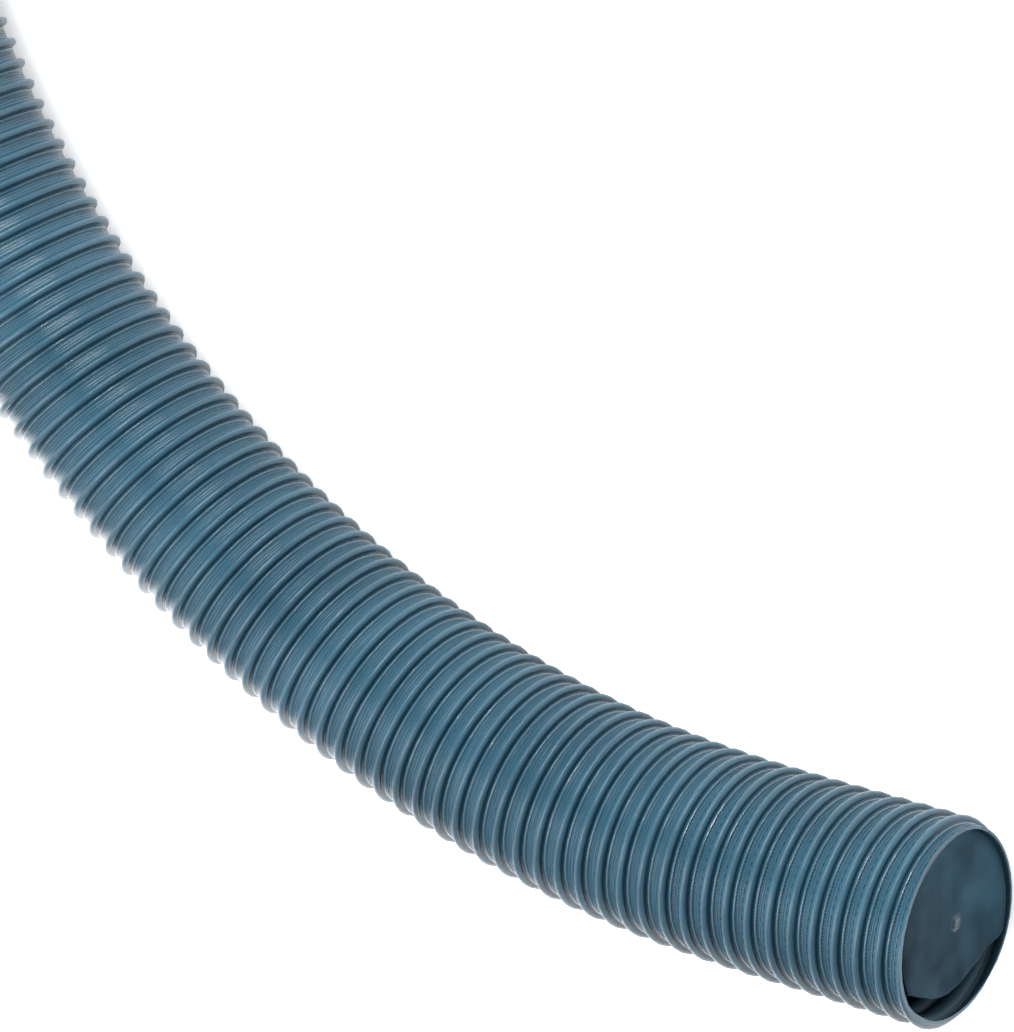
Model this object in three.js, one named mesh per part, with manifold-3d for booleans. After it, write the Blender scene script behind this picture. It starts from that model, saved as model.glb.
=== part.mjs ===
// Blower duct hose: one continuous spiral-wound hose with a helical bead, lying in a bend,
// and the thin dished end disc that sits just inside its open end.
// Millimetres, +Z up. The hose lies on z = 0 and the origin is under the middle of its outline.
import * as THREE from "three";
import { mergeVertices } from "three/addons/utils/BufferGeometryUtils.js";
import Module from "manifold-3d";

// Hose section
const BORE_DIAMETER = 102;
const WALL = 1.2;
const BEAD_HEIGHT = 4;
const BEAD_WIDTH = 6.4;
const PITCH = 13.5;
const BEAD_START = 4;

// Hose run
const LENGTH = 1524;
const END_STRAIGHT = 62.7;
const BEND_EASE = 130;
const BEND_RADIUS = 620;
const BEND_ANGLE = Math.PI / 2;

// End disc
const DISC_THICKNESS = 1.6;
const DISC_RECESS = 2.3;
const DISC_TILT = THREE.MathUtils.degToRad(3.5);
const DISC_DISH = 2.4;
const DISC_CLEARANCE = 0.3;
const NUB_DIAMETER = 7;
const NUB_HEIGHT = 1.8;
const NUB_DROP = 4.4;
const NUB_ASIDE = 1.5;

// The gap between the disc and the hose's side: its width, the angles from the hose's side
// between which it runs, and how its edge bows on the way
const GAP_WIDTH = 15.7;
const GAP_FROM = THREE.MathUtils.degToRad(-66);
const GAP_TO = THREE.MathUtils.degToRad(68);
const GAP_BOW = 2.5;
const GAP_BOW_HEIGHT = 15;

// How finely the round and bent surfaces are divided
const SIDES = 12;
const BORE_STEP = 38;
const ROUTE_STEP = 2;
const DISC_RINGS = 3;
const NUB_SIDES = 10;
const GAP_CURVE_STEPS = 6;
const OVERRUN = 2 * PITCH;

const BORE_RADIUS = BORE_DIAMETER / 2;
const ROOT_RADIUS = BORE_RADIUS + WALL;
const HOSE_RADIUS = ROOT_RADIUS + BEAD_HEIGHT;
const DISC_RADIUS = BORE_RADIUS - DISC_CLEARANCE;
const UP = new THREE.Vector3(0, 0, 1);

const wasm = await Module();
wasm.setup();

// The hose's middle line: straight behind the open end, eased into one level bend, straight again.
class DuctRoute extends THREE.Curve {
  constructor(from, to) {
    super();
    this.from = from;
    this.to = to;
    this.arcEnd = END_STRAIGHT + BEND_RADIUS * BEND_ANGLE;
    const steps = Math.ceil((to - from) / ROUTE_STEP);
    this.step = (to - from) / steps;
    this.points = [new THREE.Vector3(-from, 0, 0)];
    for (let i = 0; i < steps; i += 1) {
      const heading = this.heading(from + (i + 0.5) * this.step);
      this.points.push(this.points[i].clone().addScaledVector(heading, this.step));
    }
  }

  // The angle turned from the open end to a distance along the hose.
  turned(distance) {
    const easeIn = THREE.MathUtils.clamp(distance - END_STRAIGHT, 0, BEND_EASE);
    const arcStart = END_STRAIGHT + BEND_EASE;
    const arc = THREE.MathUtils.clamp(distance - arcStart, 0, this.arcEnd - arcStart);
    const easeOut = THREE.MathUtils.clamp(distance - this.arcEnd, 0, BEND_EASE);
    const eased = easeIn ** 2 / 2 + easeOut * BEND_EASE - easeOut ** 2 / 2;
    return (eased / BEND_EASE + arc) / BEND_RADIUS;
  }

  heading(distance) {
    const angle = this.turned(distance);
    return new THREE.Vector3(-Math.cos(angle), Math.sin(angle), 0);
  }

  at(distance) {
    const place = THREE.MathUtils.clamp((distance - this.from) / this.step, 0, this.points.length - 1.001);
    const index = Math.floor(place);
    return this.points[index].clone().lerp(this.points[index + 1], place - index);
  }

  // A point beside the middle line: radius out from it, at an angle from its left side up over its top.
  beside(distance, angle, radius) {
    const left = new THREE.Vector3().crossVectors(UP, this.heading(distance));
    return this.at(distance)
      .addScaledVector(left, radius * Math.cos(angle))
      .addScaledVector(UP, radius * Math.sin(angle));
  }

  getPoint(share) {
    return this.at(this.from + share * (this.to - this.from));
  }
}

const route = new DuctRoute(-OVERRUN - PITCH, LENGTH + OVERRUN + PITCH);

// A closed geometry as a solid that can be joined and cut, and back.
function solid(geometry) {
  const bare = geometry.clone();
  bare.deleteAttribute("normal");
  bare.deleteAttribute("uv");
  const merged = mergeVertices(bare, 0.001);
  const vertProperties = new Float32Array(merged.attributes.position.array);
  const triVerts = new Uint32Array(merged.index.array);
  return new wasm.Manifold(new wasm.Mesh({ numProp: 3, vertProperties, triVerts }));
}

function geometryOf(body) {
  const mesh = body.getMesh();
  const geometry = new THREE.BufferGeometry();
  geometry.setAttribute("position", new THREE.BufferAttribute(new Float32Array(mesh.vertProperties), 3));
  geometry.setIndex(new THREE.BufferAttribute(new Uint32Array(mesh.triVerts), 1));
  geometry.computeVertexNormals();
  return geometry;
}

// The outside of the hose: one strip wound on a left-handed helix, its crest and two feet
// repeating every pitch, closed over at both ends well past the finished length.
function woundOutside() {
  const across = [
    { shift: 0, radius: HOSE_RADIUS },
    { shift: BEAD_WIDTH / 2, radius: ROOT_RADIUS },
    { shift: PITCH - BEAD_WIDTH / 2, radius: ROOT_RADIUS },
  ];
  const turns = Math.ceil((LENGTH + 2 * OVERRUN) / PITCH);
  const rows = turns * SIDES;
  const positions = [];
  for (let row = 0; row <= rows; row += 1) {
    for (const { shift, radius } of across) {
      const distance = BEAD_START - OVERRUN + (PITCH * row) / SIDES + shift;
      positions.push(...route.beside(distance, (-2 * Math.PI * row) / SIDES, radius).toArray());
    }
  }
  const count = across.length;
  // The strip's far edge at one row is its near edge a full turn on.
  const vertex = (row, column) => (column < count ? row * count + column : (row + SIDES) * count);
  const faces = [];
  for (let row = 0; row < rows; row += 1) {
    for (let column = 0; column < count; column += 1) {
      const isLastTurn = row + SIDES >= rows;
      if (column === count - 1 && isLastTurn) continue;
      const [a, b] = [vertex(row, column), vertex(row, column + 1)];
      const [c, d] = [vertex(row + 1, column + 1), vertex(row + 1, column)];
      faces.push(a, b, d, b, c, d);
    }
  }
  return { positions, faces, rows, count };
}

// Adds a fan from a rim of vertices to a point on the middle line.
function closeOver(skin, rim, distance) {
  const hub = skin.positions.length / 3;
  skin.positions.push(...route.at(distance).toArray());
  for (let i = 0; i + 1 < rim.length; i += 1) skin.faces.push(rim[i + 1], rim[i], hub);
}

function hoseOutside() {
  const skin = woundOutside();
  const { rows, count } = skin;
  const firstEdge = [];
  const lastEdge = [];
  for (let row = SIDES; row >= 0; row -= 1) firstEdge.push(row * count);
  for (let column = 1; column < count; column += 1) firstEdge.push(column);
  firstEdge.push(SIDES * count);
  for (let row = rows - SIDES; row <= rows; row += 1) lastEdge.push(row * count + count - 1);
  for (let column = count - 2; column >= 0; column -= 1) lastEdge.push(rows * count + column);
  lastEdge.push((rows - SIDES) * count + count - 1);
  closeOver(skin, firstEdge, -OVERRUN);
  closeOver(skin, lastEdge, LENGTH + OVERRUN);
  const geometry = new THREE.BufferGeometry();
  geometry.setAttribute("position", new THREE.Float32BufferAttribute(skin.positions, 3));
  geometry.setIndex(skin.faces);
  return geometry;
}

// A block that starts at the square cut across the hose at a distance and reaches outwards.
function endBlock(distance, outwards) {
  const depth = 3 * OVERRUN;
  const block = new THREE.BoxGeometry(depth, 4 * HOSE_RADIUS, 4 * HOSE_RADIUS);
  block.translate(depth / 2, 0, 0);
  block.applyQuaternion(new THREE.Quaternion().setFromUnitVectors(new THREE.Vector3(1, 0, 0), outwards));
  return block.translate(...route.at(distance).toArray());
}

function boreInside() {
  const corner = new THREE.Vector2(BORE_RADIUS, 0);
  const centre = new THREE.Vector2();
  const turn = (2 * Math.PI) / SIDES;
  const corners = Array.from({ length: SIDES }, (_, i) => corner.clone().rotateAround(centre, turn * i));
  const section = new THREE.Shape(corners);
  const path = new DuctRoute(-PITCH, LENGTH + PITCH);
  const steps = Math.ceil((path.to - path.from) / BORE_STEP);
  return new THREE.ExtrudeGeometry(section, { steps, extrudePath: path });
}

function ductHose() {
  const farOutwards = route.heading(LENGTH);
  const body = solid(hoseOutside())
    .subtract(solid(boreInside()))
    .subtract(solid(endBlock(0, new THREE.Vector3(1, 0, 0))))
    .subtract(solid(endBlock(LENGTH, farOutwards)));
  return geometryOf(body);
}

// How far the disc's face lies in from its rim, at a radius.
function dishAt(radius) {
  return DISC_DISH * (1 - (radius / DISC_RADIUS) ** 2);
}

// The disc, turned about the Y axis, with its outer face towards +Y and its rim's face at y = 0.
function discBlank() {
  const radii = Array.from({ length: DISC_RINGS + 1 }, (_, ring) => (DISC_RADIUS * ring) / DISC_RINGS);
  const back = radii.map((radius) => new THREE.Vector2(radius, -DISC_THICKNESS - dishAt(radius)));
  const front = radii.map((radius) => new THREE.Vector2(radius, -dishAt(radius)));
  return new THREE.LatheGeometry([...back, ...front.reverse()], SIDES);
}

// What the gap takes out of the disc: seen from outside, left is towards -Y and up is +Z.
function gapBlock() {
  const edge = DISC_RADIUS - GAP_WIDTH;
  const onSide = (angle) => [HOSE_RADIUS * Math.cos(angle), HOSE_RADIUS * Math.sin(angle)];
  const shape = new THREE.Shape();
  shape.moveTo(...onSide(GAP_FROM));
  shape.lineTo(edge, 0);
  shape.quadraticCurveTo(edge + GAP_BOW, GAP_BOW_HEIGHT, ...onSide(GAP_TO));
  shape.lineTo(2 * HOSE_RADIUS, HOSE_RADIUS);
  shape.lineTo(2 * HOSE_RADIUS, -HOSE_RADIUS);
  const depth = 4 * (DISC_DISH + DISC_THICKNESS);
  const settings = { depth, bevelEnabled: false, curveSegments: GAP_CURVE_STEPS };
  const block = new THREE.ExtrudeGeometry(shape, settings);
  block.translate(0, 0, -depth / 2);
  return block.applyMatrix4(new THREE.Matrix4().makeBasis(
    new THREE.Vector3(0, -1, 0),
    new THREE.Vector3(0, 0, 1),
    new THREE.Vector3(-1, 0, 0),
  ));
}

function endDisc() {
  const toOutwards = new THREE.Matrix4().makeRotationZ(-Math.PI / 2);
  const blank = discBlank().applyMatrix4(toOutwards);
  const height = DISC_THICKNESS / 2 + NUB_HEIGHT;
  const nub = new THREE.CylinderGeometry(0.3 * NUB_DIAMETER, NUB_DIAMETER / 2, height, NUB_SIDES);
  nub.translate(0, height / 2 - DISC_THICKNESS / 2 - dishAt(0), 0).applyMatrix4(toOutwards);
  nub.translate(0, -NUB_ASIDE, -NUB_DROP);
  const disc = geometryOf(solid(blank).add(solid(nub)).subtract(solid(gapBlock())));
  return disc.rotateZ(DISC_TILT);
}

function mesh(name, geometry, color, roughness) {
  const material = new THREE.MeshStandardMaterial({ color, roughness, metalness: 0 });
  const piece = new THREE.Mesh(geometry, material);
  piece.name = name;
  return piece;
}

const duct = new THREE.Group();
const hose = mesh("duct_hose", ductHose(), "#4f7890", 0.42);
const disc = mesh("end_disc", endDisc(), "#3c5869", 0.5);
disc.position.set(-DISC_RECESS, 0, 0);
duct.add(hose, disc);

// The hose lies on the ground with the origin under the middle of its outline.
const outline = new THREE.Box3().setFromObject(duct);
const middle = outline.getCenter(new THREE.Vector3());
duct.position.set(-middle.x, -middle.y, -outline.min.z);

export default duct;
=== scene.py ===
"""The look of the blower duct hose: a spiral-wound hose that lies in a level bend.

The hose is one closed mesh wound along its route, and the thin dished disc sits
just inside its open end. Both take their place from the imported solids. Lengths are
in metres, apart from the hose's pitch, its two shapes and the disc's own sizes, which
are in millimetres. An angle round the hose starts at its left side, seen along the
route from the open end, and rises over its top.
"""

import logging
import math
from dataclasses import dataclass, field
from enum import Enum
from typing import Sequence, Union

import bmesh
import bpy
import numpy as np
from mathutils import Matrix, Vector


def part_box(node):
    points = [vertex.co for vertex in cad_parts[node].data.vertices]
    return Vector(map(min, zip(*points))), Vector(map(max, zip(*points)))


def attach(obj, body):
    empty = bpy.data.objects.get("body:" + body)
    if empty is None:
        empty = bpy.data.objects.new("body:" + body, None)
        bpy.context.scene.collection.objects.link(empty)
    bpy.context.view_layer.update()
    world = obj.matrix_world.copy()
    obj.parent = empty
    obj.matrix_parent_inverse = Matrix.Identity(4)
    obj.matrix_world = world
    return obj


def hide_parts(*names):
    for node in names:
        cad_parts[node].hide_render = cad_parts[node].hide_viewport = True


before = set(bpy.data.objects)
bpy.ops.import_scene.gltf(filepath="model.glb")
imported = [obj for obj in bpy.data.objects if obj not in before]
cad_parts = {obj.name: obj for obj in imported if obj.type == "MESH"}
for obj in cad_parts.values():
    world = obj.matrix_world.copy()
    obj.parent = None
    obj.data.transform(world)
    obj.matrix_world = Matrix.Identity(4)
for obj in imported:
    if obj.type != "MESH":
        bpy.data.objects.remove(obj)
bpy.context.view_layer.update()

LOG = logging.getLogger("duct_hose")
BODY = "root"
MILLIMETRE = 0.001
TURN = 2 * math.pi

# The hose's radius over its beads and its pitch, in millimetres
OUTER_RADIUS = 56.2
PITCH = 13.5

# Where the winding chart puts the cut rims and the bore, past the 0 to 1 of the outside
CHART_RIM = 1.3
CHART_BORE = 2.0

# An edge that turns further than this is a sharp one
SHARP_ANGLE = math.radians(50)

Colour = tuple[float, float, float]

# A centre, a half width and the width of the soft edge beyond it
Band = tuple[float, float, float]


class Slot(Enum):
    """The record's material slots."""

    DUCT = "duct_plastic"
    DISC = "disc_plastic"


# The hose's route


@dataclass
class DuctRoute:
    """The hose's centreline: a short straight, a level bend with eased ends, a straight."""

    mouth: Vector
    length: float = 1.524
    end_straight: float = 0.0627
    bend_ease: float = 0.130
    bend_radius: float = 0.620
    bend_angle: float = math.pi / 2
    step: float = 0.0005
    stations: np.ndarray = field(init=False, repr=False)
    line: np.ndarray = field(init=False, repr=False)

    def __post_init__(self) -> None:
        """Adds the route up once, in small steps from the open end."""
        self.stations = np.arange(0.0, self.length + self.step / 2, self.step)
        angle = self.turned(self.stations)
        middle = (angle[1:] + angle[:-1]) / 2
        along = np.concatenate([[0.0], np.cumsum(np.cos(middle)) * self.step])
        across = np.concatenate([[0.0], np.cumsum(np.sin(middle)) * self.step])
        self.line = np.stack([self.mouth.x - along, self.mouth.y + across], axis=1)

    def turned(self, s: np.ndarray) -> np.ndarray:
        """The angle that the route has turned through.

        Args:
            s: Distances from the open end.

        Returns:
            The turn at each distance, in radians.
        """
        bend_end = self.end_straight + self.bend_radius * self.bend_angle
        ease_in = np.clip(s - self.end_straight, 0.0, self.bend_ease)
        ease_out = np.clip(s - bend_end, 0.0, self.bend_ease)
        full = bend_end - self.end_straight - self.bend_ease
        arc = np.clip(s - self.end_straight - self.bend_ease, 0.0, full)
        eased = ease_in**2 / 2 + ease_out * self.bend_ease - ease_out**2 / 2
        return (eased / self.bend_ease + arc) / self.bend_radius

    def ring(self, s: np.ndarray, angle: np.ndarray, radius: np.ndarray) -> np.ndarray:
        """Points round the centreline.

        Args:
            s: Distances from the open end; a little outside the ends is allowed.
            angle: Angles round the hose, in radians.
            radius: Distances from the centreline.

        Returns:
            One row of x, y, z for each point.
        """
        inside = np.clip(s, 0.0, self.length)
        past = s - inside
        turn = self.turned(inside)
        heading = np.stack([-np.cos(turn), np.sin(turn)], axis=-1)
        left = np.stack([-heading[..., 1], heading[..., 0]], axis=-1)
        centre = np.stack(
            [np.interp(inside, self.stations, self.line[:, i]) for i in (0, 1)], axis=-1
        )
        level = centre + heading * past[..., None]
        level = level + left * (radius * np.cos(angle))[..., None]
        height = self.mouth.z + radius * np.sin(angle)
        return np.concatenate([level, height[..., None]], axis=-1)

    def path(self, points: int) -> list[tuple[float, float, float]]:
        """Evenly spaced points of the centreline.

        Args:
            points: How many points, both ends included.

        Returns:
            The points, from the open end to the far end.
        """
        s = np.linspace(0.0, self.length, points)
        nothing = np.zeros(points)
        return [tuple(map(float, p)) for p in self.ring(s, nothing, nothing)]


# Camera and light


@dataclass
class StudioCamera:
    """The photograph's viewpoint, as an offset from the hose's open end."""

    target: Vector
    offset: tuple[float, float, float] = (1.26602, 1.23055, 1.99077)
    right: tuple[float, float, float] = (0.79969, -0.04319, -0.59885)
    up: tuple[float, float, float] = (-0.20110, 0.92053, -0.33494)
    lens: float = 181.80
    sensor: float = 36.0
    clip_end: float = 50.0

    def place(self) -> bpy.types.Object:
        """Adds the camera and makes it the scene's.

        Returns:
            The camera's object.
        """
        data = bpy.data.cameras.new("studio_camera")
        data.sensor_fit = "HORIZONTAL"
        data.sensor_width = self.sensor
        data.lens = self.lens
        data.clip_end = self.clip_end
        camera = bpy.data.objects.new("studio_camera", data)
        bpy.context.scene.collection.objects.link(camera)
        right = Vector(self.right).normalized()
        up = Vector(self.up)
        up = (up - right * up.dot(right)).normalized()
        back = right.cross(up)
        turn = Matrix((right, up, back)).transposed().to_4x4()
        camera.matrix_world = Matrix.Translation(self.target + Vector(self.offset)) @ turn
        bpy.context.scene.camera = camera
        return camera


@dataclass
class SoftLight:
    """One rectangular studio light that faces the middle of the hose."""

    name: str
    direction: tuple[float, float, float]
    distance: float
    width: float
    height: float
    watts: float
    colour: Colour = (1.0, 1.0, 1.0)

    def place(self, centre: Vector) -> bpy.types.Object:
        """Adds the light.

        Args:
            centre: The point that the light faces.

        Returns:
            The light's object.
        """
        data = bpy.data.lights.new(self.name, "AREA")
        data.shape = "RECTANGLE"
        data.size = self.width
        data.size_y = self.height
        data.energy = self.watts
        data.color = self.colour
        light = bpy.data.objects.new(self.name, data)
        bpy.context.scene.collection.objects.link(light)
        away = Vector(self.direction).normalized()
        turn = away.to_track_quat("Z", "X").to_matrix().to_4x4()
        light.matrix_world = Matrix.Translation(centre + away * self.distance) @ turn
        return light


# Shader helpers

Number = Union[float, int, "Value"]


class Value:
    """One number that a shader node gives, with Python's arithmetic on it."""

    def __init__(self, finish: "Finish", socket: bpy.types.NodeSocket) -> None:
        """Keeps the finish that owns the nodes, and the socket."""
        self.finish = finish
        self.socket = socket

    def math(self, operation: str, *others: Number, first: Number | None = None) -> "Value":
        """One Math node on this value.

        Args:
            operation: The node's operation.
            others: The inputs after this one.
            first: What stands before this value, for a reflected operator.

        Returns:
            The node's result.
        """
        values = [self, *others] if first is None else [first, self, *others]
        node = self.finish.node(
            "ShaderNodeMath", {"operation": operation}, dict(enumerate(values))
        )
        return Value(self.finish, node.outputs[0])

    def __add__(self, other: Number) -> "Value":
        """Sum."""
        return self.math("ADD", other)

    __radd__ = __add__

    def __mul__(self, other: Number) -> "Value":
        """Product."""
        return self.math("MULTIPLY", other)

    __rmul__ = __mul__

    def __sub__(self, other: Number) -> "Value":
        """Difference."""
        return self.math("SUBTRACT", other)

    def __rsub__(self, other: Number) -> "Value":
        """Difference with this value taken away."""
        return self.math("SUBTRACT", first=other)

    def __pow__(self, other: Number) -> "Value":
        """Power."""
        return self.math("POWER", other)

    def __mod__(self, other: Number) -> "Value":
        """Remainder, never negative."""
        return self.math("FLOORED_MODULO", other)

    def __abs__(self) -> "Value":
        """Size without its sign."""
        return self.math("ABSOLUTE")

    def rise(self, low: float, high: float) -> "Value":
        """A smooth step from 0 at low to 1 at high; low may be the larger."""
        ends = {"Value": self, "From Min": low, "From Max": high}
        node = self.finish.node("ShaderNodeMapRange", {"interpolation_type": "SMOOTHSTEP"}, ends)
        return Value(self.finish, node.outputs["Result"])

    def band(self, centre: float, half: float, soft: float) -> "Value":
        """A smooth band: 1 within half of centre, 0 beyond half plus soft."""
        return abs(self - centre).rise(half + soft, half)

    def wave(self, count: float) -> "Value":
        """A cosine from 0 to 1 that repeats count times in each unit."""
        return (self * (TURN * count)).math("COSINE") * 0.5 + 0.5


@dataclass
class Finish:
    """A node material with a Principled shader, built by its subclasses."""

    name: str
    material: bpy.types.Material = field(init=False, repr=False)
    shader: bpy.types.Node = field(init=False, repr=False)

    def __post_init__(self) -> None:
        """Makes the empty material, then lets the subclass fill it."""
        self.material = bpy.data.materials.new(self.name)
        self.material.use_nodes = True
        tree = self.material.node_tree
        tree.nodes.clear()
        self.shader = self.node("ShaderNodeBsdfPrincipled")
        output = self.node("ShaderNodeOutputMaterial")
        tree.links.new(self.shader.outputs["BSDF"], output.inputs["Surface"])
        self.build()

    def build(self) -> None:
        """Adds this finish's own nodes."""

    def node(
        self, kind: str, settings: dict | None = None, inputs: dict | None = None
    ) -> bpy.types.Node:
        """Adds any node.

        Args:
            kind: The node's type.
            settings: Its settings, by name.
            inputs: Values or links for its sockets, by name or number.

        Returns:
            The node.
        """
        node = self.material.node_tree.nodes.new(kind)
        for key, value in (settings or {}).items():
            setattr(node, key, value)
        for key, value in (inputs or {}).items():
            self.plug(node.inputs[key], value)
        return node

    def plug(self, socket: bpy.types.NodeSocket, entry: object) -> None:
        """Links a value or a socket to an input, or sets the input to a plain entry."""
        if isinstance(entry, Value):
            entry = entry.socket
        if isinstance(entry, bpy.types.NodeSocket):
            self.material.node_tree.links.new(entry, socket)
        else:
            socket.default_value = entry

    def value(self, node: bpy.types.Node, output: str | int = 0) -> Value:
        """Wraps one output of a node."""
        return Value(self, node.outputs[output])

    def mix(self, share: Number, low: object, high: object) -> bpy.types.NodeSocket:
        """Mixes two colours.

        Args:
            share: How much of high, from 0 to 1.
            low: A colour or a colour socket.
            high: A colour or a colour socket.

        Returns:
            The mixed colour's socket.
        """
        settings = {"data_type": "RGBA", "clamp_factor": True}
        node = self.node("ShaderNodeMix", settings)
        # The node's colours are its inputs 6 and 7 and its output 2
        for index, entry in ((0, share), (6, low), (7, high)):
            if isinstance(entry, tuple):
                entry = (*entry, 1.0)
            self.plug(node.inputs[index], entry)
        return node.outputs[2]

    def noise(self, vector: object, scale: float, detail: float = 2.0) -> Value:
        """Soft noise around 0.5.

        Args:
            vector: The coordinate socket that it reads.
            scale: How many lumps there are in each unit.
            detail: How much finer noise is added.

        Returns:
            The noise.
        """
        inputs = {"Vector": vector, "Scale": scale, "Detail": detail}
        return self.value(self.node("ShaderNodeTexNoise", {}, inputs), "Fac")

    def set(self, **sockets: object) -> None:
        """Sets or links the shader's sockets; an underscore stands for a space."""
        for key, entry in sockets.items():
            self.plug(self.shader.inputs[key.replace("_", " ")], entry)

    def relief(self, height: Value, depth: float) -> bpy.types.NodeSocket:
        """A bump from a height.

        Args:
            height: The height, in shares of depth.
            depth: The real depth, in metres.

        Returns:
            The normal's socket.
        """
        inputs = {"Height": height, "Distance": depth, "Strength": 1.0}
        return self.node("ShaderNodeBump", {}, inputs).outputs["Normal"]


def linear(red: int, green: int, blue: int) -> Colour:
    """A screen colour, 0 to 255 each, as the shader's linear one."""
    parts = (part / 255 for part in (red, green, blue))
    return tuple(p / 12.92 if p < 0.04045 else ((p + 0.055) / 1.055) ** 2.4 for p in parts)


# The hose


@dataclass
class DuctPlastic(Finish):
    """Blue-grey moulded plastic that reads how the strip is wound; painted shade darkens its thin
    groove and the bead's foot.

    The hose's own UV map gives turns along the strip as U, and the share of the pitch
    past the bead's crest as V. V is CHART_RIM on the cut rims, and CHART_BORE or more
    inside the bore. A row or a groove is a Band in shares of the pitch.
    """

    pitch: float = PITCH
    girth: float = 0.329
    body: Colour = linear(37, 68, 83)
    pale: Colour = linear(59, 94, 110)
    deep: Colour = linear(27, 56, 70)
    # The dark colour of the dots, dashes and fine lines, also painted as shade in the thin groove
    # and at the bead's foot
    groove: Colour = linear(8, 30, 42)
    bore: Colour = linear(30, 54, 66)
    marked_turns: float = 9.6
    marks_fade: float = 0.6
    outside_span: tuple[float, float] = (1.6, 1.4)
    fine_lines: Band = (0.40, 0.15, 0.03)
    lines_a_millimetre: float = 0.62
    dot_row: Band = (0.33, 0.012, 0.012)
    dot_spacing: float = 0.005
    fine_groove: Band = (0.606, 0.020, 0.016)
    comb_row: Band = (0.612, 0.02, 0.012)
    comb_spacing: float = 0.0021
    thin_ridge: Band = (0.692, 0.03, 0.03)
    bead_foot: Band = (0.815, 0.012, 0.016)
    relief_depth: float = 0.0005

    def build(self) -> None:
        """Adds the colour, with painted shade in the thin groove and at the bead's foot, the
        roughness and the fine relief.
        """
        chart = self.node("ShaderNodeUVMap", {"uv_map": "winding"})
        parts = self.node("ShaderNodeSeparateXYZ", {}, {0: chart.outputs["UV"]})
        turns = self.value(parts, "X")
        across = self.value(parts, "Y")
        outside = across.rise(*self.outside_span)
        place = self.node("ShaderNodeTexCoord").outputs["Object"]

        blotch = self.noise(place, 14.0, 3.0)
        streak_place = self.node(
            "ShaderNodeCombineXYZ", {}, {"X": turns * 5.0, "Y": across * 26.0}
        ).outputs[0]
        streak = self.noise(streak_place, 1.0, 2.0)
        grain = self.noise(place, 900.0, 2.0)
        patch_place = self.node(
            "ShaderNodeCombineXYZ", {}, {"X": turns * 26.0, "Y": across * 4.0}
        ).outputs[0]
        patch = self.noise(patch_place, 1.0, 2.0)

        lines = (across * self.pitch).wave(self.lines_a_millimetre) ** 3
        lines = lines * across.band(*self.fine_lines)
        dots = self.dots(turns, across)
        comb = self.comb(turns, across)
        # Painted shade: the thin groove and the valley at the bead's foot are painted dark
        painted_groove_shade = across.band(*self.fine_groove) * 0.7 + across.band(*self.bead_foot) * 0.7
        ridge = across.band(*self.thin_ridge)

        tone = blotch * 0.55 + streak * 0.45
        colour = self.mix(tone.rise(0.36, 0.66), self.deep, self.body)
        colour = self.mix(streak.rise(0.56, 0.78) * 0.45, colour, self.pale)
        # The dots, comb dashes and fine lines darken together with the painted shade of the
        # groove and the bead's foot
        marks_and_groove_shade = painted_groove_shade + comb * 0.5 + dots * 0.7 + lines * 0.35
        colour = self.mix(ridge * 0.3, colour, self.pale)
        colour = self.mix(marks_and_groove_shade * outside, colour, self.groove)
        colour = self.mix(1 - outside, colour, self.bore)

        rough = 0.19 + streak * 0.14 + blotch * 0.06 - ridge * 0.13 + (1 - outside) * 0.25
        height = streak * 0.3 + patch * 0.6 + grain * 0.04 - lines * 0.2 - dots * 0.5 - comb * 0.6
        self.set(
            Base_Color=colour,
            Roughness=rough,
            Normal=self.relief(height * outside, self.relief_depth),
            Specular_IOR_Level=0.34,
            IOR=1.42,
        )

    def dots(self, turns: Value, across: Value) -> Value:
        """The row of small embossed dots on the first turns."""
        count = round(self.girth / self.dot_spacing)
        along = abs((turns * count) % 1.0 - 0.5)
        return along.rise(0.28, 0.16) * across.band(*self.dot_row) * self.first(turns)

    def comb(self, turns: Value, across: Value) -> Value:
        """The comb-like dashes in the thin groove on the first turns."""
        count = round(self.girth / self.comb_spacing)
        along = abs((turns * count) % 1.0 - 0.5)
        return along.rise(0.34, 0.22) * across.band(*self.comb_row) * self.first(turns)

    def first(self, turns: Value) -> Value:
        """1 on the turns next to the open end, fading out after them."""
        return turns.rise(self.marked_turns + self.marks_fade, self.marked_turns)


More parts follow.
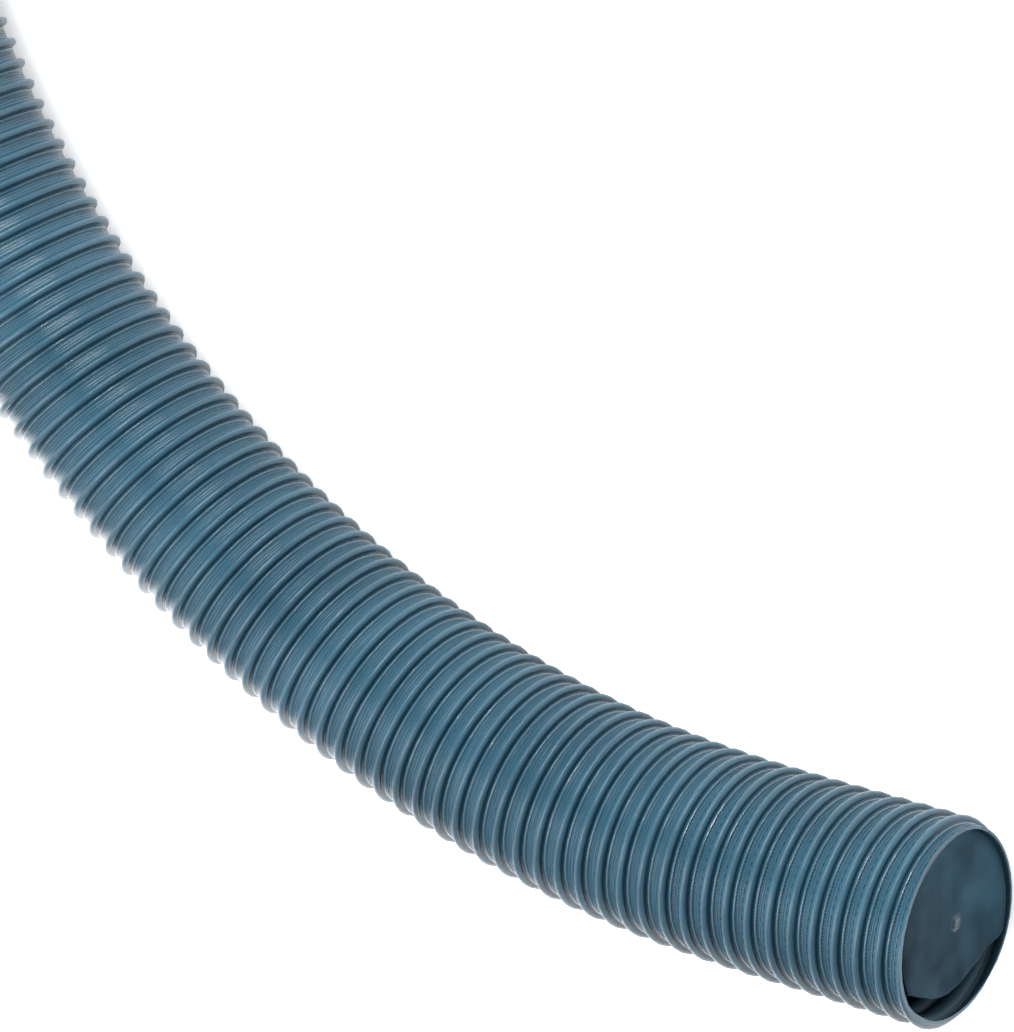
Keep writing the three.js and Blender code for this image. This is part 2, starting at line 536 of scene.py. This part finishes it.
@dataclass
class SpiralHose:
    """The wound hose: a closed tube with a raised helical bead and finer ridges.

    A point of shape or lining is an offset past the bead's crest and a height, in
    millimetres.
    """

    route: DuctRoute
    root_radius: float = 52.2 * MILLIMETRE
    bore_radius: float = 51.0 * MILLIMETRE
    pitch: float = PITCH * MILLIMETRE
    bead_start: float = 4.0 * MILLIMETRE
    segments: int = 40
    out_of_round: float = 0.86 * MILLIMETRE
    out_of_round_reach: float = 60.0 * MILLIMETRE
    shape: tuple[tuple[float, float], ...] = (
        (0.0, 4.1),
        (1.2, 3.8),
        (2.05, 2.95),
        (2.4, 1.8),
        (2.6, 0.7),
        (3.1, 0.25),
        (7.75, 0.3),
        (8.2, -0.35),
        (8.65, 0.5),
        (9.35, 0.95),
        (10.05, 0.6),
        (10.7, 0.05),
        (11.0, 0.1),
        (11.15, 1.7),
        (11.5, 2.95),
        (12.3, 3.8),
    )
    lining: tuple[tuple[float, float], ...] = (
        (0.0, 3.3),
        (1.7, 2.1),
        (2.3, 0.0),
        (11.2, 0.0),
        (11.8, 2.1),
    )

    def build(self, finish: Finish) -> bpy.types.Object:
        """Makes the hose's mesh and dresses it.

        Args:
            finish: The hose's finish.

        Returns:
            The finished object.
        """
        outer = self.skin(self.shape, self.root_radius)
        inner = self.skin(self.lining, self.bore_radius)
        points = np.concatenate([outer.points, inner.points])
        shift = len(outer.points)
        faces = list(outer.faces) + [tuple(i + shift for i in f[::-1]) for f in inner.faces]
        charts = list(outer.charts) + [
            [(u, v + CHART_BORE) for u, v in chart[::-1]] for chart in inner.charts
        ]
        for near in (True, False):
            ring_out = outer.mouth if near else outer.tail
            ring_in = inner.mouth if near else inner.tail
            for j in range(self.segments):
                k = (j + 1) % self.segments
                corners = (ring_out[j], ring_in[j] + shift, ring_in[k] + shift, ring_out[k])
                faces.append(corners if near else corners[::-1])
                charts.append([(j / self.segments, CHART_RIM)] * 4)
        mesh = bpy.data.meshes.new("spiral_hose")
        mesh.from_pydata([tuple(p) for p in points], [], faces)
        layer = mesh.uv_layers.new(name="winding")
        layer.data.foreach_set("uv", [c for chart in charts for uv in chart for c in uv])
        mesh.shade_smooth()
        rims = set(outer.mouth + outer.tail)
        rims |= {i + shift for i in inner.mouth + inner.tail}
        self.mark_rims(mesh, rims)
        mesh.materials.append(finish.material)
        hose = bpy.data.objects.new("spiral_hose", mesh)
        bpy.context.scene.collection.objects.link(hose)
        return hose

    @staticmethod
    def mark_rims(mesh: bpy.types.Mesh, rims: set[int]) -> None:
        """Keeps the cut ends' edges sharp.

        Args:
            mesh: The hose's mesh.
            rims: The vertices that lie on the cut ends.
        """
        work = bmesh.new()
        work.from_mesh(mesh)
        for edge in work.edges:
            if edge.verts[0].index in rims and edge.verts[1].index in rims:
                edge.smooth = edge.calc_face_angle(0.0) < SHARP_ANGLE
        work.to_mesh(mesh)
        work.free()

    def sag(self, s: np.ndarray, angle: np.ndarray) -> np.ndarray:
        """How far the open end is out of round, dying away from the cut."""
        fade = np.exp(-((s / self.out_of_round_reach) ** 2))
        return -self.out_of_round * fade * np.cos(3 * angle)

    def skin(self, shape: Sequence[tuple[float, float]], radius: float) -> "Skin":
        """Winds one surface along the route.

        Args:
            shape: Offsets from the crest and heights over radius, in millimetres.
            radius: The surface's own radius.

        Returns:
            The wound surface.
        """
        offsets = np.array([p[0] for p in shape]) * MILLIMETRE
        heights = np.array([p[1] for p in shape]) * MILLIMETRE
        first = -2 * self.segments
        last = int((self.route.length / self.pitch + 2) * self.segments)
        steps = np.arange(first, last + 1)
        count = len(shape)
        s = (
            self.bead_start
            + self.pitch * steps[:, None] / self.segments
            + np.append(offsets, self.pitch)[None, :]
        )
        angle = np.broadcast_to((-TURN * steps / self.segments)[:, None], s.shape)
        s = np.clip(s, 0.0, self.route.length)
        phase = ((s - self.bead_start) / self.pitch + angle / TURN) % 1.0
        level = np.interp(
            phase,
            np.append(offsets, self.pitch) / self.pitch,
            np.append(heights, heights[0]),
        )
        column = np.broadcast_to((steps % self.segments)[:, None], s.shape)
        key = column.astype(np.int64) * 10**9 + np.round((s + 0.1) * 1e7).astype(np.int64)
        _, where, back = np.unique(key, return_index=True, return_inverse=True)
        back = back.reshape(s.shape)
        points = self.route.ring(
            s.ravel()[where],
            angle.ravel()[where],
            (radius + level + self.sag(s, angle)).ravel()[where],
        )
        ends = np.append(offsets, self.pitch) / self.pitch
        faces: list[tuple[int, ...]] = []
        charts: list[list[tuple[float, float]]] = []
        for i in range(len(steps) - 1):
            for k in range(count):
                corners = ((i, k), (i, k + 1), (i + 1, k + 1), (i + 1, k))
                kept: list[int] = []
                chart: list[tuple[float, float]] = []
                for a, b in corners:
                    index = int(back[a, b])
                    if index not in kept:
                        kept.append(index)
                        chart.append((steps[a] / self.segments, ends[b]))
                if len(kept) > 2:
                    faces.append(tuple(kept))
                    charts.append(chart)
        mouth, tail = [], []
        for j in range(self.segments):
            column_keys = back[(steps % self.segments) == j]
            column_s = s[(steps % self.segments) == j]
            mouth.append(int(column_keys.ravel()[column_s.argmin()]))
            tail.append(int(column_keys.ravel()[column_s.argmax()]))
        return Skin(points, faces, charts, mouth, tail)


@dataclass
class Skin:
    """One wound surface: its points, faces and winding chart, and its two end rings."""

    points: np.ndarray
    faces: list[tuple[int, ...]]
    charts: list[list[tuple[float, float]]]
    mouth: list[int]
    tail: list[int]


# The end disc


@dataclass
class DiscPlastic(Finish):
    """Darker soft-sheen plastic, a little cloudy, with a glossier moulding nub, and painted
    light: painted shade towards its top and the hose's left, a painted highlight below the nub
    and a painted sheen streak above it.
    """

    nub: Vector = field(default_factory=Vector)
    body: Colour = linear(29, 47, 57)
    # The lighter cloudy tone, also the colour of the painted highlight and painted sheen
    cloud_and_painted_light: Colour = linear(41, 64, 77)
    # The darkest tone, where the cloudy noise and the painted shade run low
    deep: Colour = linear(12, 24, 31)
    # How steeply painted shade darkens the disc towards its top and the hose's left
    shade: float = 6.0
    # Where the painted highlight sits, from the nub: below it and towards the hose's left
    painted_highlight_from_nub: tuple[float, float, float] = (0.0, -0.0165, -0.010)
    # The painted sheen: a thin pale streak just above the nub, off to its right
    painted_sheen_above_nub: float = 0.004
    painted_sheen_height: Band = (0.0, 0.0002, 0.0012)
    painted_sheen_width: Band = (0.026, 0.010, 0.012)
    relief_depth: float = 0.0002

    def build(self) -> None:
        """Adds the cloudy colour with painted shade, a painted highlight and a painted sheen
        streak, and a very fine grain.
        """
        place = self.node("ShaderNodeTexCoord").outputs["Object"]
        parts = self.node("ShaderNodeSeparateXYZ", {}, {0: place})
        aside = self.value(parts, "Y") - self.nub.y
        drop = self.nub.z - self.value(parts, "Z")
        # Random cloudy noise plus painted shade: lighter towards the hose's right and lower down
        cloud_and_painted_light = self.noise(place, 26.0, 2.0) + (aside + drop * 1.2) * self.shade * 0.5
        grain = self.noise(place, 1400.0, 1.0)
        near_nub = self.distance(place, self.nub).rise(0.006, 0.0035)
        colour = self.mix(cloud_and_painted_light.rise(0.44, 0.72), self.body, self.cloud_and_painted_light)
        # The deep colour comes in where the noise is low and where the painted shade darkens the
        # top and the left
        colour = self.mix(cloud_and_painted_light.rise(0.50, 0.24), colour, self.deep)
        # Painted highlight: a round pale patch below the nub
        painted_highlight_middle = self.nub + Vector(self.painted_highlight_from_nub)
        painted_highlight = self.distance(place, painted_highlight_middle).rise(0.013, 0.002)
        # Painted sheen: a thin pale streak painted into the colour above the nub
        sheen = (drop + self.painted_sheen_above_nub).band(*self.painted_sheen_height)
        sheen = sheen * aside.band(*self.painted_sheen_width)
        # The painted highlight and the painted sheen take the lighter cloudy colour
        colour = self.mix(painted_highlight * 0.55 + sheen * 0.35, colour, self.cloud_and_painted_light)
        rough = 0.34 + cloud_and_painted_light * 0.1 - near_nub * 0.26
        self.set(
            Base_Color=colour,
            Roughness=rough,
            Coat_Weight=near_nub * 0.6,
            Coat_Roughness=0.06,
            Normal=self.relief(grain * 0.4 + cloud_and_painted_light * 0.6, self.relief_depth),
            Specular_IOR_Level=0.3,
            IOR=1.08,
        )

    def distance(self, place: bpy.types.NodeSocket, point: Vector) -> Value:
        """How far each place is from a point."""
        settings = {"operation": "DISTANCE"}
        node = self.node("ShaderNodeVectorMath", settings, {0: place, 1: tuple(point)})
        return self.value(node, "Value")


@dataclass
class Dent:
    """One soft push on the disc: where, how wide and how far, in millimetres."""

    across: float
    up: float
    reach: float
    push: float


@dataclass
class EndDisc:
    """The thin dished disc just inside the open end, with its free edge on one side.

    It is modelled flat, X to the hose's right and Y up, and then stood in its place.
    Its sizes are in millimetres.
    """

    mouth: Vector
    radius: float = 50.2
    thickness: float = 1.6
    recess: float = 2.3
    tilt: float = math.radians(3.5)
    sides: int = 96
    rings: int = 11
    ring_step: float = 4.2
    edge_width: float = 0.35
    edge_segments: int = 2
    smooth_angle: float = math.radians(40)
    nub_across: float = -1.5
    nub_up: float = -4.4
    nub_reach: float = 26.0
    nub_steps: tuple[tuple[float, float], ...] = ((0.7, 0.9), (0.9, 0.6), (0.9, -0.5))
    free_edge: tuple[tuple[float, float], ...] = (
        (-20.5, -50.0),
        (-25.3, -39.6),
        (-29.3, -22.0),
        (-32.4, -8.4),
        (-34.6, 1.6),
        (-35.7, 9.5),
        (-34.9, 16.0),
        (-32.3, 23.5),
        (-25.1, 37.6),
        (-18.5, 48.5),
    )
    dents: tuple[Dent, ...] = (
        Dent(0.0, 0.0, 46.0, -2.4),
        Dent(-16.0, 6.0, 17.0, 1.0),
        Dent(-12.0, -18.0, 16.0, -0.9),
        Dent(14.0, -14.0, 18.0, 0.7),
        Dent(10.0, 20.0, 20.0, -0.6),
        Dent(-30.0, 16.0, 12.0, -1.1),
        Dent(-34.0, -4.0, 11.0, 0.8),
        Dent(-26.0, -30.0, 13.0, -1.6),
    )

    def nub_place(self) -> Vector:
        """Where the nub stands on the finished disc."""
        aside, up = self.nub_across * MILLIMETRE, self.nub_up * MILLIMETRE
        return self.mouth + Vector((-self.recess * MILLIMETRE, aside, up))

    def build(self, finish: Finish) -> bpy.types.Object:
        """Models the disc and dresses it.

        Args:
            finish: The disc's finish.

        Returns:
            The finished object.
        """
        clear_selection()
        bpy.ops.mesh.primitive_circle_add(
            vertices=self.sides, radius=self.radius * MILLIMETRE, fill_type="NGON"
        )
        disc = bpy.context.active_object
        disc.name = disc.data.name = "end_disc_leaf"
        bpy.ops.object.mode_set(mode="EDIT")
        self.add_rings()
        self.raise_nub()
        self.trim()
        for dent in self.dents:
            self.push(dent)
        bpy.ops.object.mode_set(mode="OBJECT")
        wall = disc.modifiers.new("wall", "SOLIDIFY")
        wall.thickness = self.thickness * MILLIMETRE
        wall.offset = -1.0
        edge = disc.modifiers.new("edge", "BEVEL")
        edge.width = self.edge_width * MILLIMETRE
        edge.segments = self.edge_segments
        edge.angle_limit = SHARP_ANGLE
        for modifier in ("wall", "edge"):
            bpy.ops.object.modifier_apply(modifier=modifier)
        bpy.ops.object.shade_smooth_by_angle(angle=self.smooth_angle)
        upright = Matrix(((0, 0, 1), (1, 0, 0), (0, 1, 0))).to_4x4()
        turn = Matrix.Rotation(self.tilt, 4, "Z") @ upright
        seat = self.mouth - Vector((self.recess * MILLIMETRE, 0.0, 0.0))
        disc.matrix_world = Matrix.Translation(seat) @ turn
        bpy.ops.object.transform_apply(location=True, rotation=True, scale=True)
        disc.data.materials.append(finish.material)
        return disc

    def add_rings(self) -> None:
        """Insets the flat disc ring by ring, down to the face that carries the nub."""
        bpy.ops.mesh.select_all(action="SELECT")
        for _ in range(self.rings):
            bpy.ops.mesh.inset(thickness=self.ring_step * MILLIMETRE, depth=0.0)

    def raise_nub(self) -> None:
        """Shifts the middle to the nub's place and raises the small moulding nub."""
        shift = (self.nub_across * MILLIMETRE, self.nub_up * MILLIMETRE, 0.0)
        self.glide(shift, self.nub_reach)
        for inset, depth in self.nub_steps:
            bpy.ops.mesh.inset(thickness=inset * MILLIMETRE, depth=depth * MILLIMETRE)
        bpy.ops.mesh.poke()

    @staticmethod
    def glide(shift: tuple[float, float, float], reach: float) -> None:
        """Moves what is selected, and softly what lies within reach of it."""
        bpy.ops.transform.translate(
            value=shift,
            use_proportional_edit=True,
            proportional_edit_falloff="SMOOTH",
            proportional_size=reach * MILLIMETRE,
        )

    def trim(self) -> None:
        """Cuts the free edge, one short straight at a time."""
        for low, high in zip(self.free_edge, self.free_edge[1:]):
            along = (Vector(high) - Vector(low)).normalized()
            bpy.ops.mesh.select_all(action="SELECT")
            bpy.ops.mesh.bisect(
                plane_co=(low[0] * MILLIMETRE, low[1] * MILLIMETRE, 0.0),
                plane_no=(-along.y, along.x, 0.0),
                clear_outer=True,
            )

    def push(self, dent: Dent) -> None:
        """Pushes one soft dent or swell into the disc."""
        leaf = bmesh.from_edit_mesh(bpy.context.active_object.data)
        spot = Vector((dent.across, dent.up)) * MILLIMETRE
        bpy.ops.mesh.select_mode(type="VERT")
        bpy.ops.mesh.select_all(action="DESELECT")
        nearest = min(leaf.verts, key=lambda v: (v.co.xy - spot).length)
        nearest.select_set(True)
        bmesh.update_edit_mesh(bpy.context.active_object.data)
        self.glide((0.0, 0.0, dent.push * MILLIMETRE), dent.reach)


# The studio


@dataclass
class FloorFinish(Finish):
    """Plain pale studio paper."""

    shaded: Colour = (0.90, 0.90, 0.90)
    bright: Colour = (0.93, 0.93, 0.93)
    glow: float = 0.36

    def build(self) -> None:
        """Sets the pale colour with a faint mottle."""
        place = self.node("ShaderNodeTexCoord").outputs["Object"]
        mottle = self.noise(place, 3.0, 2.0)
        paper = self.mix(mottle, self.shaded, self.bright)
        self.set(
            Base_Color=paper,
            Roughness=0.9,
            Emission_Color=(1.0, 1.0, 1.0, 1.0),
            Emission_Strength=self.glow,
        )


@dataclass
class Studio:
    """The pale floor, the soft lights and the even surround."""

    centre: Vector
    floor_size: float = 30.0
    surround: float = 1.25
    surround_colour: Colour = (0.97, 0.985, 1.0)

    def build(self) -> None:
        """Adds the floor, the lights and the surround."""
        bpy.ops.mesh.primitive_plane_add(size=self.floor_size)
        floor = bpy.context.active_object
        floor.name = "studio_floor"
        floor.data.materials.append(FloorFinish("studio_paper").material)
        for light in (
            SoftLight("strip_light", (0.0, 0.80, 0.50), 2.6, 2.6, 0.13, 125.0),
            SoftLight("top_light", (-0.25, -0.15, 0.96), 2.8, 1.8, 1.8, 75.0),
            SoftLight("fill_light", (-0.55, -0.45, 0.70), 2.8, 2.2, 2.2, 34.0),
        ):
            light.place(self.centre)
        world = bpy.data.worlds.new("surround")
        world.use_nodes = True
        back = world.node_tree.nodes["Background"]
        back.inputs["Color"].default_value = (*self.surround_colour, 1.0)
        back.inputs["Strength"].default_value = self.surround
        bpy.context.scene.world = world
        bpy.context.scene.view_settings.view_transform = "Standard"


# The whole object


def clear_selection() -> None:
    """Deselects all that is selected."""
    for thing in bpy.context.selected_objects:
        thing.select_set(False)


def main() -> None:
    """Builds the camera, the hose, the disc and the studio."""
    logging.basicConfig(level=logging.INFO, format="%(name)s: %(message)s")
    clear_selection()
    low, high = (Vector(corner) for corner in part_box("duct_hose"))
    radius = OUTER_RADIUS * MILLIMETRE
    route = DuctRoute(Vector((high.x, low.y + radius, low.z + radius)))
    StudioCamera(route.mouth).place()
    hose = SpiralHose(route).build(DuctPlastic("duct_plastic_finish"))
    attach(hose, BODY)
    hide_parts("duct_hose")
    route.path(40)
    LOG.info("hose: %d faces", len(hose.data.polygons))
    leaf = EndDisc(route.mouth)
    disc = leaf.build(DiscPlastic("disc_plastic_finish", nub=leaf.nub_place()))
    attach(disc, BODY)
    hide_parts("end_disc")
    LOG.info("end disc: %d faces", len(disc.data.polygons))
    Studio(Vector((0.0, 0.0, 0.05))).build()


if __name__ == "__main__":
    main()
